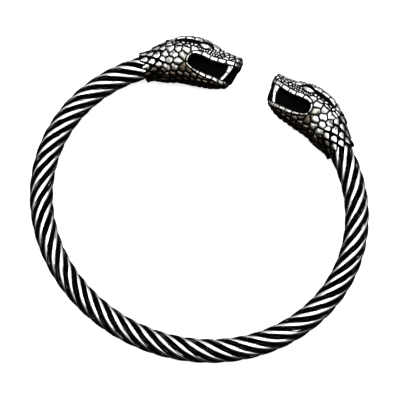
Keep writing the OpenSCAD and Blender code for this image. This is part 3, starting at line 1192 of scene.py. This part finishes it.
@dataclass
class Skin:
    """The relief of one flank, in millimetres: how far each place stands proud, and its tones.

    rows and lines count the grid's places. A place nearer than snap to the mouth's edge is
    moved onto it, and one in the next strip onto a line beside it, so that the edge is clean.
    """

    form: HeadForm
    mouth: Mouth
    lips: Lips = Lips()
    brow: Brow = Brow()
    eye: Eye = Eye()
    neck: NeckScales = NeckScales()
    fill: FillScales = FillScales()
    rows: int = 250
    lines: int = 168
    fine_steps: int = 400
    walk_steps: int = 720
    face_run: float = 14.5
    face_density: float = 1.35
    neck_density: float = 0.8
    edge_thinning: float = 0.55
    snap: float = 0.05
    snap_strip: float = 2.6
    snap_line: float = 1.8
    groove: float = 0.185
    groove_depth: float = 0.22
    groove_black: Pair = (0.5, 1.6)
    bevel: float = 0.20
    bevel_share: float = 0.65
    bead_r: float = 0.22
    bead_black: Pair = (0.02, 0.10)
    wobble: tuple[Pair, Pair] = ((0.09, 2.9), (0.08, 3.3))
    wobble_cross: Pair = (1.1, 0.7)
    rim_inset: float = 0.21
    rim_slope: float = 2.0
    crown_inset: float = 0.08
    crown_outs: Pair = (0.5, 3.2)
    jaw_inset: float = 0.10
    jaw_outs: Pair = (1.5, 3.4)
    mouth_slope: float = 0.30
    mouth_black: Pair = (-0.10, -0.02)
    edge_side: float = 63.0
    # Heights below the centre line over which the painted tan to brown reflection of cheeks and
    # jaw sets in, its share from the palest to the darkest scale, and the single darker scales higher up
    cheek_tan: Pair = (-0.6, 2.0)
    cheek_shades: Pair = (0.4, 1.2)
    jaw_tan: Pair = (2.0, 4.0)
    single_tan: Pair = (-2.2, 0.2)
    single_strength: float = 0.4
    single_from: float = 0.6
    lip_share: float = 0.2
    seed: int = 5

    def walk(self, run: np.ndarray) -> tuple[np.ndarray, np.ndarray, np.ndarray]:
        """Walks round the section at each run from the jaw to the crown.

        Args:
            run: The runs.

        Returns:
            The sides on the way, and for each run the outs there and the distances walked.
        """
        fine = np.linspace(-90, 90, self.walk_steps + 1)
        out, up = self.form.section(run[:, None], fine[None, :])
        step = np.hypot(np.diff(out, axis=1), np.diff(up, axis=1))
        return fine, out, np.concatenate([np.zeros((len(run), 1)), np.cumsum(step, axis=1)], axis=1)

    def edge_girth(self, run: float) -> float:
        """Gives the girth of the rounded edge between flank and crown at a run."""
        fine, (out,), (walked,) = self.walk(np.array([run]))
        return float(np.interp(self.edge_side, fine, walked) - np.interp(0.0, out, walked))

    def grid(self) -> dict[str, np.ndarray]:
        """Lays an even grid over the flank, from rim to snout and from jaw to crown.

        Returns:
            Arrays of rows by lines: run, side, girth, out and up.
        """
        notch = self.form.notch_run()
        even = np.linspace(LINE.snout_run(), notch, self.fine_steps)
        crowd = np.cumsum(np.where(even < self.face_run, self.face_density, self.neck_density))
        station = np.interp(np.linspace(crowd[-1], crowd[0], self.rows), crowd, even)
        fine, out, walked = self.walk(station)
        middle = np.linspace(0, 1, self.fine_steps)
        crowd = np.cumsum(1 - self.edge_thinning * np.abs(2 * middle - 1) ** 2)
        share = np.interp(np.linspace(crowd[0], crowd[-1], self.lines + 1), crowd, middle)
        side = np.stack([np.interp(share * w[-1], w, fine) for w in walked])
        level = np.array([np.interp(0.0, o, w) for o, w in zip(out, walked)])
        girth = share[None, :] * walked[:, -1:] - level[:, None]
        easing = ramp(station, notch - self.neck.length, notch)[:, None]
        run = station[:, None] + self.neck.point * (1 - self.neck.at(side, 0)[1]) * easing
        out, up = self.form.section(run, side)
        mouth = self.mouth.measure(run, out)
        far = np.abs(mouth.distance)
        beside = np.where(far < self.snap_strip * self.snap, self.snap_line * self.snap, far)
        keep = np.where(far < self.snap, 0.0, beside) / np.maximum(far, 1e-9)
        run = mix(mouth.nearest[..., 0], run, keep)
        out = mix(mouth.nearest[..., 1], out, keep)
        return {"run": run, "side": side, "girth": girth, "out": out, "up": up}

    def scales(self, crown: np.ndarray, jaw: np.ndarray, run: np.ndarray) -> Scales:
        """Places the flat and beaded scales.

        Args:
            crown: Girth of the crown line at each row of the grid.
            jaw: Girth of the jaw line.
            run: Run of each row.

        Returns:
            The scales.
        """
        fill, placed = self.fill, []
        for row in SCALE_ROWS:
            for share in np.linspace(0, 1, row.count):
                at, girth = mix(*row.run, share), mix(*row.girth, share)
                girth += self.edge_girth(at) if row.hugs_edge else 0.0
                placed.append([at, girth, row.size, row.rise, float(row.bead)])
        for at in np.arange(*fill.crown_run, fill.crown_pitch):
            placed.append([at, np.interp(at, run[::-1], crown[::-1]), fill.crown_size, fill.rise, 0.0])
        taken = np.array(placed)
        for i, girth in enumerate(np.arange(*fill.girth, fill.girth_pitch)):
            for at in np.arange(*fill.run, fill.run_pitch):
                at += fill.run_pitch / 2 * (i % 2) + fill.slant * girth
                top, low = (np.interp(at, run[::-1], line[::-1]) for line in (crown, jaw))
                if girth > top - fill.from_crown or girth < low - fill.past_jaw:
                    continue
                if fill.flank_low < girth < self.edge_girth(at) - fill.below_edge:
                    continue
                if np.hypot(taken[:, 0] - at, taken[:, 1] - girth).min() > fill.apart:
                    placed.append([at, girth, fill.size, fill.rise, 0.0])
        table = np.array(placed)
        shift = np.random.default_rng(self.seed).normal(0, fill.scatter, (len(table), 2))
        middle = table[:, :2] + shift * np.minimum(1, table[:, 2:3] / fill.scatter_size)
        return Scales(middle, table[:, 2], table[:, 3], table[:, 4] > 0)

    def mosaic(
        self, run: np.ndarray, girth: np.ndarray, scales: Scales
    ) -> tuple[np.ndarray, np.ndarray, np.ndarray]:
        """Finds the scale that each place belongs to, and how far it is from that scale's edge.

        Args:
            run: Runs of the places.
            girth: Their girths.
            scales: The scales.

        Returns:
            Numbers of the scales, distances from their edges, and distances from their middles.
        """
        middles, weight = scales.middle, scales.size**2
        apart = np.linalg.norm(middles[:, None] - middles[None, :], axis=2)
        np.fill_diagonal(apart, FAR)
        owner = np.zeros(run.shape, int)
        edge = np.zeros(run.shape)
        off = np.zeros(run.shape)
        (run_bend, run_waves), (girth_bend, girth_waves) = self.wobble
        bent_run = run + run_bend * np.sin(run_waves * girth + self.wobble_cross[0] * run)
        bent_girth = girth + girth_bend * np.sin(girth_waves * run + self.wobble_cross[1] * girth)
        for i in range(run.shape[0]):
            place = np.stack([bent_run[i], bent_girth[i]], axis=1)
            power = ((place[:, None] - middles[None]) ** 2).sum(axis=2) - weight
            own = power.argmin(axis=1)
            lead = (power - power[np.arange(len(own)), own][:, None]) / (2 * apart[own])
            lead[np.arange(len(own)), own] = FAR
            owner[i], edge[i] = own, lead.min(axis=1)
            off[i] = np.linalg.norm(place - middles[own], axis=1)
        return owner, edge, off

    def plates(
        self, rise: np.ndarray, size: np.ndarray, edge: np.ndarray
    ) -> tuple[np.ndarray, np.ndarray]:
        """Works out the flat scales: bevelled plates with black grooves between them.

        Args:
            rise: Rise of each place's scale.
            size: Its size.
            edge: Distance of each place from the scale's edge.

        Returns:
            How high each place stands and how black it is.
        """
        start = self.groove * self.groove_black[0]
        plate = ramp(edge, start, self.groove + self.bevel)
        crest = ramp(edge, start, size)
        sunk = 1 - self.bevel_share * plate - (1 - self.bevel_share) * crest
        black = 1 - ramp(edge, start, self.groove * self.groove_black[1])
        return rise - np.clip(rise, 0, self.groove_depth) * sunk, np.where(rise < 0, 1.0, black)

    def reflection_strength(self, out: np.ndarray, shade: np.ndarray, on_lip: np.ndarray) -> np.ndarray:
        """Works out the painted tan to brown reflection at each place: more toward the jaw, scale by
        scale.

        Args:
            out: Outs of the places.
            shade: A chance from 0 to 1 for each place's scale.
            on_lip: Where the lips are, which carry only lip_share of it.

        Returns:
            The strength of the painted reflection, from 0 to 1.
        """
        cheek = 0.5 * ramp(-out, *self.cheek_tan) * mix(*self.cheek_shades, shade)
        jaw = 0.5 * ramp(-out, *self.jaw_tan)
        single = self.single_strength * (shade > self.single_from) * ramp(-out, *self.single_tan)
        underside_reflection = np.clip(cheek + jaw + single, 0, 1)
        return np.where(on_lip, self.lip_share * underside_reflection, underside_reflection)

    def relief(self, grid: dict[str, np.ndarray]) -> dict[str, np.ndarray]:
        """Works out the whole relief of the flank.

        Args:
            grid: From grid().

        Returns:
            Arrays of rows by lines: lift, the patina with the neck's painted shadows, the painted
                underside
            reflection, and press, which is how far a place is pressed in to the mouth's web.
        """
        run, side, girth, out = (grid[key] for key in ("run", "side", "girth", "out"))
        scales = self.scales(girth[:, -1], girth[:, 0], run[:, 0])
        owner, edge, off = self.mosaic(run, girth, scales)
        mouth = self.mouth.measure(run, out)
        edge_line = np.array([self.edge_girth(at) for at in run[:, 0]])[:, None]
        brow_in = self.brow.inset(run, girth - edge_line, self.eye.run)
        from_lip = np.abs(mouth.distance - self.lips.band(mouth))
        edge = np.minimum(edge, np.minimum(from_lip, np.abs(brow_in)))
        rise, bead = scales.rise[owner], scales.bead[owner]
        lift, patina_and_shadow = self.plates(rise, scales.size[owner], edge)
        dome = np.sqrt(np.clip(1 - (off / self.bead_r) ** 2, 0, 1))
        lift = np.where(bead, rise * dome, lift)
        patina_and_shadow = np.where(bead, 1 - ramp(self.bead_r - off, *self.bead_black), patina_and_shadow)

        notch = self.form.notch_run()
        height, black = self.neck.shape(run, side, notch, self.seed + 2)
        middle = scales.middle[owner]
        on_neck = middle[..., 0] + self.neck.starts_slant * middle[..., 1] > self.neck.starts
        lift = np.where(on_neck, height, lift)
        # On the neck this black holds the scales' painted shadows as well as patina
        patina_and_shadow = np.where(on_neck, black, patina_and_shadow)
        slim = ramp(run, self.neck.starts - self.rim_slope, notch)
        lift -= slim * (self.rim_inset + self.crown_inset * ramp(out, *self.crown_outs))
        lift -= slim**2 * self.jaw_inset * ramp(-out, *self.jaw_outs)

        lips = self.lips.shape(run, mouth)
        for where, height, black in (self.brow.shape(run, brow_in), lips):
            lift = np.where(where, height, lift)
            patina_and_shadow = np.where(where, black, patina_and_shadow)
        socket = self.eye.almond(run, out, self.eye.socket_margin)
        lift = mix(lift, self.eye.socket_lift, ramp(socket, *self.eye.sinks))
        patina_and_shadow = np.maximum(patina_and_shadow, ramp(socket, *self.eye.blackens))
        where, height, black = self.eye.shape(run, out)
        lift = np.where(where, height, lift)
        patina_and_shadow = np.where(where, black, patina_and_shadow)

        press = ramp(-mouth.distance, 0.0, self.mouth_slope)
        patina_and_shadow = np.maximum(patina_and_shadow, ramp(-mouth.distance, *self.mouth_black))
        shade = np.random.default_rng(self.seed + 1).random(len(scales.size))[owner]
        # Painted reflection: tan to brown toward the jaw, scale by scale
        underside_reflection = self.reflection_strength(out, shade, lips[0])
        return {"lift": lift * (1 - press), "patina_and_shadow": patina_and_shadow, "underside_reflection": underside_reflection, "press": press}


@dataclass(frozen=True)
class Fang:
    """A curved fang from the upper lip to the lower jaw, in millimetres.

    back and up place its root and its tip, as shares of the mouth's length and height, and
    radius gives its thickness there. Its middle stands forward by bow, and its foot spreads.
    """

    back: Pair = (0.145, 0.215)
    up: Pair = (0.98, 0.02)
    bow: float = 0.62
    radius: Pair = (0.80, 0.50)
    thins: Pair = (0.0, 0.7)
    foot: float = 0.14
    foot_from: Pair = (0.75, 1.0)
    depth_share: float = 0.55
    squareness: float = 0.8
    seat: float = 0.17
    inset: float = 0.75
    steps: int = 24
    sides: int = 18

    def build(self, form: HeadForm, mouth: Mouth, flip: int) -> tuple[np.ndarray, np.ndarray]:
        """Sweeps the fang.

        Args:
            form: Form of the head that it stands in.
            mouth: The mouth.
            flip: 1 for the upper flank, -1 for the lower.

        Returns:
            Its points and its quads.
        """
        share = np.linspace(0, 1, self.steps)
        run = LINE.snout_run() + mouth.length * mix(*self.back, share)
        run -= self.bow * np.sin(math.pi * share)
        out = mouth.floor + mouth.height * mix(*self.up, share)
        radius = mix(*self.radius, ramp(share, *self.thins)) + self.foot * ramp(share, *self.foot_from)
        seat = np.array([LINE.snout_run() + mouth.length * self.seat])
        middle = float(form.reach(form.along(seat), Column.HALF)[0]) - self.inset
        angle = 2 * math.pi * np.arange(self.sides) / self.sides
        wide, deep = (np.sign(v) * np.abs(v) ** self.squareness for v in (np.sin(angle), np.cos(angle)))
        points = form.place(
            run[:, None] + radius[:, None] * wide,
            np.repeat(out[:, None], self.sides, axis=1),
            flip * (middle + self.depth_share * radius[:, None] * deep),
        )
        quads = tube_quads(self.steps, self.sides)
        return points.reshape(-1, 3), quads if flip > 0 else quads[:, ::-1]


def around(half: np.ndarray, mirror: Numbers = 1.0) -> np.ndarray:
    """Closes rows that run over one flank from jaw to crown with their mirror image.

    Args:
        half: Rows of places on the flank, or of values there.
        mirror: What the values of the other flank are multiplied by.

    Returns:
        The rows that go all the way round.
    """
    return np.concatenate([half, half[:, -2:0:-1] * mirror], axis=1)


@dataclass
class Head:
    """A cast serpent head with an open mouth, holding the end of the rope in its neck.

    nose_steps are the shares of the way from the snout's last ring to its middle, over which
    the nose closes with a rise of nose_rise, in millimetres as the other sizes are.
    """

    name: str
    mirror: bool
    finish: bpy.types.Material
    form: HeadForm
    mouth: Mouth
    fang: Fang = Fang()
    bore_flare: float = 0.10
    bore_chamfer: float = 0.15
    bore_point: float = 0.02
    nose_rise: float = 0.22
    nose_steps: tuple[float, ...] = (0.35, 0.65, 0.9, 1.0)
    nose_closing: float = 0.995
    piece: bpy.types.Object | None = None

    def flank(self, grid: dict[str, np.ndarray], relief: dict[str, np.ndarray]) -> np.ndarray:
        """Raises the relief on the flank's form, and presses the mouth in to its web.

        Args:
            grid: From the skin's grid().
            relief: From its relief().

        Returns:
            The points, in rows from rim to snout.
        """
        run, out, up = grid["run"], grid["out"], grid["up"]
        base = self.form.place(run, out, up)
        normal = unit(np.cross(np.gradient(base, axis=0), np.gradient(base, axis=1)))
        from_line = base - self.form.place(run, 0 * out, 0 * up)
        outside = np.sign((normal * from_line).sum(axis=2))
        normal *= np.where(outside == 0, 1, outside)[..., None]
        normal[:, [0, -1], 2] = 0
        flank = base + unit(normal) * relief["lift"][..., None]
        pressed = np.minimum(flank[..., 2], self.mouth.web_t / 2)
        flank[..., 2] = mix(flank[..., 2], pressed, relief["press"])
        flank[:, [0, -1], 2] = 0.0
        return flank

    def bore(self, grid: dict[str, np.ndarray]) -> np.ndarray:
        """Makes the rings of the neck's bore.

        Args:
            grid: From the skin's grid().

        Returns:
            The rings, from the closed bottom to the rim.
        """
        side, run = grid["side"][0], grid["run"][0]
        turn = np.radians(np.concatenate([side, 180 - side[-2:0:-1]]))
        rim = np.concatenate([run, run[-2:0:-1]])
        bottom = np.full_like(rim, rim.min() - self.form.bore_depth)
        rings = (
            (self.bore_point, bottom),
            (self.form.bore_r, bottom),
            (self.form.bore_r, rim - self.bore_chamfer),
            (self.form.bore_r + self.bore_flare, rim),
        )
        return np.array([LINE.beside(at, r * np.sin(turn), r * np.cos(turn)) for r, at in rings])

    def nose(self, rings: np.ndarray) -> np.ndarray:
        """Makes the rings that close the snout.

        Args:
            rings: The head's rings, from rim to snout.

        Returns:
            The closing rings.
        """
        tip = rings[-1].mean(axis=0)
        forward = unit((rings[-1] - rings[-3]).mean(axis=0))
        closing = []
        for share in self.nose_steps:
            rise = self.nose_rise * math.sqrt(1 - (1 - share) ** 2)
            closing.append(mix(rings[-1], tip, share * self.nose_closing) + forward * rise)
        return np.array(closing)

    def build(self, skin: Skin) -> None:
        """Makes the head from the relief of its flank, in place of the CAD head.

        Args:
            skin: The relief, the same on both flanks.
        """
        grid = skin.grid()
        relief = skin.relief(grid)
        rings = around(self.flank(grid, relief), np.array([1, 1, -1]))
        bore, nose = self.bore(grid), self.nose(rings)
        points = np.concatenate([bore, rings, nose])
        count = points.shape[1]
        faces = tube_quads(len(points), count)
        points = points.reshape(-1, 3)
        fangs = [self.fang.build(self.form, self.mouth, flip) for flip in (1, -1)]
        for fang, quads in fangs:
            faces = np.concatenate([faces, quads + len(points)])
            points = np.concatenate([points, fang])
        in_fangs = np.zeros(sum(len(fang) for fang, _ in fangs))
        tones = {}
        for tone, in_bore in ((Tone.PATINA_AND_SHADOW, 1.0), (Tone.UNDERSIDE_REFLECTION, 0.0)):
            shell = [
                np.full((len(bore), count), in_bore),
                around(relief[tone.value]),
                np.ones((len(nose), count)),
            ]
            tones[tone] = np.append(np.concatenate(shell).ravel(), in_fangs)
        if self.mirror:
            points = points * np.array([-1, 1, 1])
            faces = faces[:, ::-1]
        self.piece = make_piece(self.name + "_cast", points, faces.tolist(), tones)
        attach(self.piece, "root")
        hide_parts(self.name)

    def dress(self) -> None:
        """Gives the head its finish."""
        self.piece.data.materials.append(self.finish)


def direction(axes: np.ndarray, azimuth: float, elevation: float) -> np.ndarray:
    """Gives a direction from the ring.

    Args:
        axes: The camera's right, up and back axes, as rows.
        azimuth: Angle in the image, in degrees from the right, turning up.
        elevation: Angle above the ring's plane, in degrees.

    Returns:
        The unit vector.
    """
    right, above, back = axes
    turn, rise = math.radians(azimuth), math.radians(elevation)
    return (right * math.cos(turn) + above * math.sin(turn)) * math.cos(rise) + back * math.sin(rise)


@dataclass(frozen=True)
class SoftBox:
    """A square soft light that faces the ring.

    azimuth is its direction in the image, in degrees from the right, turning up, and
    elevation its angle above the ring's plane. Lengths are in metres and power in watts.
    """

    name: str = "overhead"
    azimuth: float = 80.0
    elevation: float = 68.0
    distance: float = 0.55
    side: float = 0.9
    power: float = 5.2

    def hang(self, axes: np.ndarray) -> None:
        """Hangs the light.

        Args:
            axes: The camera's right, up and back axes, as rows.
        """
        data = bpy.data.lights.new(self.name, "AREA")
        data.shape, data.size, data.energy = "SQUARE", self.side, self.power
        light = bpy.data.objects.new(self.name, data)
        bpy.context.scene.collection.objects.link(light)
        toward = direction(axes, self.azimuth, self.elevation)
        light.location = Vector(toward * self.distance)
        light.rotation_mode = "QUATERNION"
        light.rotation_quaternion = Vector(-toward).to_track_quat("-Z", "Y")


@dataclass
class Studio:
    """Pale floor, soft lights and the camera at the photograph's angle.

    ring_px is the pixel of the ring's middle. The camera leans from straight above by lean,
    toward lean_azimuth in the ring's plane, which is lean_in_image in the picture. The room
    is a light tent: each fade gives the cosines of the angle to its axis between which the
    glow changes, and the glow at each.
    """

    finish: bpy.types.Material
    mm_per_px: float = 0.217
    ring_px: Pair = (197.2, 204.3)
    lean: float = 12.0
    lean_azimuth: float = -28.8
    lean_in_image: float = -53.0
    lens: float = 160.0
    sensor: float = 36.0
    clip: Pair = (0.01, 10.0)
    floor_half: float = 0.6
    overhead: SoftBox = SoftBox()
    tent_azimuth: float = 75.0
    tent_elevation: float = 50.0
    tent_edge: tuple[Pair, Pair] = ((-0.03, 0.10), (0.035, 1.0))
    tent_glow: tuple[Pair, Pair] = ((0.10, 0.85), (0.60, 1.22))
    under_floor: tuple[Pair, Pair] = ((-0.70, -0.56), (0.003, 1.0))

    def axes(self) -> np.ndarray:
        """Turns the camera's lean to its axes.

        Returns:
            Its right, up and back axes in the row frame, as rows.
        """
        lean, toward = math.radians(self.lean), math.radians(self.lean_azimuth)
        image = math.radians(self.lean_in_image)
        flat = np.array([math.cos(toward), math.sin(toward), 0.0])
        cross = np.array([-math.sin(toward), math.cos(toward), 0.0])
        up = np.array([0.0, 0.0, 1.0])
        down = math.cos(lean) * flat - math.sin(lean) * up
        back = math.sin(lean) * flat + math.cos(lean) * up
        right = math.cos(image) * down - math.sin(image) * cross
        above = math.sin(image) * down + math.cos(image) * cross
        tilt = np.array(LINE.rest().to_3x3())
        return np.stack([right, above, back]) @ tilt.T

    def place_camera(self) -> None:
        """Makes the camera and frames the ring as the photograph does."""
        data = bpy.data.cameras.new("camera")
        data.lens, data.sensor_width = self.lens, self.sensor
        data.clip_start, data.clip_end = self.clip
        camera = bpy.data.objects.new("camera", data)
        bpy.context.scene.collection.objects.link(camera)
        bpy.context.scene.camera = camera
        right, above, back = self.axes()
        centre = np.array(LINE.rest().translation) / MM
        dx, dy = IMAGE_PX / 2 - self.ring_px[0], self.ring_px[1] - IMAGE_PX / 2
        aim = centre + self.mm_per_px * (dx * right + dy * above)
        spot = aim + back * (IMAGE_PX * self.mm_per_px * self.lens / self.sensor)
        turn = Matrix([list(right), list(above), list(back)]).transposed().to_4x4()
        camera.matrix_world = Matrix.Translation(Vector(spot * MM)) @ turn

    def lay_floor(self) -> None:
        """Lays the pale floor, which the steel doesn't mirror."""
        mesh = bpy.data.meshes.new("floor")
        half = self.floor_half
        corners = [(-half, -half, 0), (half, -half, 0), (half, half, 0), (-half, half, 0)]
        mesh.from_pydata(corners, [], [(0, 1, 2, 3)])
        floor = bpy.data.objects.new("floor", mesh)
        bpy.context.scene.collection.objects.link(floor)
        mesh.materials.append(self.finish)
        floor.visible_glossy = False

    def light(self) -> None:
        """Hangs the light and puts the light tent round the ring."""
        axes = self.axes()
        self.overhead.hang(axes)
        world = bpy.data.worlds.new("room")
        world.use_nodes = True
        tree = world.node_tree
        tree.nodes.clear()
        toward = add_node(tree, "ShaderNodeTexCoord")
        middle, back = direction(axes, self.tent_azimuth, self.tent_elevation), axes[2]
        fades = []
        for axis, (cosines, glows) in (
            (middle, self.tent_edge),
            (middle, self.tent_glow),
            (back, self.under_floor),
        ):
            facing = add_node(
                tree,
                "ShaderNodeVectorMath",
                {"operation": "DOT_PRODUCT"},
                i0=toward.outputs["Generated"],
                i1=tuple(axis),
            )
            fade = add_node(
                tree,
                "ShaderNodeMapRange",
                {"interpolation_type": "SMOOTHSTEP"},
                value=facing.outputs["Value"],
                from_min=cosines[0],
                from_max=cosines[1],
                to_min=glows[0],
                to_max=glows[1],
            )
            fades.append(fade.outputs[0])
        glow = fades[0]
        for fade in fades[1:]:
            glow = add_node(tree, "ShaderNodeMath", {"operation": "MULTIPLY"}, i0=glow, i1=fade).outputs[0]
        sky = add_node(tree, "ShaderNodeBackground", color=linear("ffffff"), strength=glow)
        add_node(tree, "ShaderNodeOutputWorld", surface=sky.outputs[0])
        bpy.context.scene.world = world
        bpy.context.scene.view_settings.view_transform = "Standard"


def main() -> None:
    """Builds the studio, the rope and the heads, in order, and reports each piece."""
    logging.basicConfig(level=logging.INFO)
    wire_steel = OxidisedSteel("polished_wire_steel", reflection_strength=0.2, streak=2.2).material()
    cast_steel = OxidisedSteel(
        "polished_cast_steel", bright_roughness=0.2, mark_mm=0.22, reflection_strength=1.0, smudge=0.9
    ).material()
    core_steel = DrawnCoreSteel("blackened_core_wire").material()
    studio = Studio(PaleFloor("white_studio_board").material())
    studio.place_camera()
    studio.lay_floor()
    studio.light()
    rope = Rope(wire_steel, core_steel)
    rope.build()
    rope.dress()
    form, mouth = HeadForm(), Mouth()
    skin = Skin(form, mouth)
    heads = [
        Head("head_right", False, cast_steel, form, mouth),
        Head("head_left", True, cast_steel, form, mouth),
    ]
    for head in heads:
        head.build(skin)
        head.dress()
    for piece in [*rope.pieces, *(head.piece for head in heads)]:
        log.info("%s: %d faces", piece.name, len(piece.data.polygons))


if __name__ == "__main__":
    main()
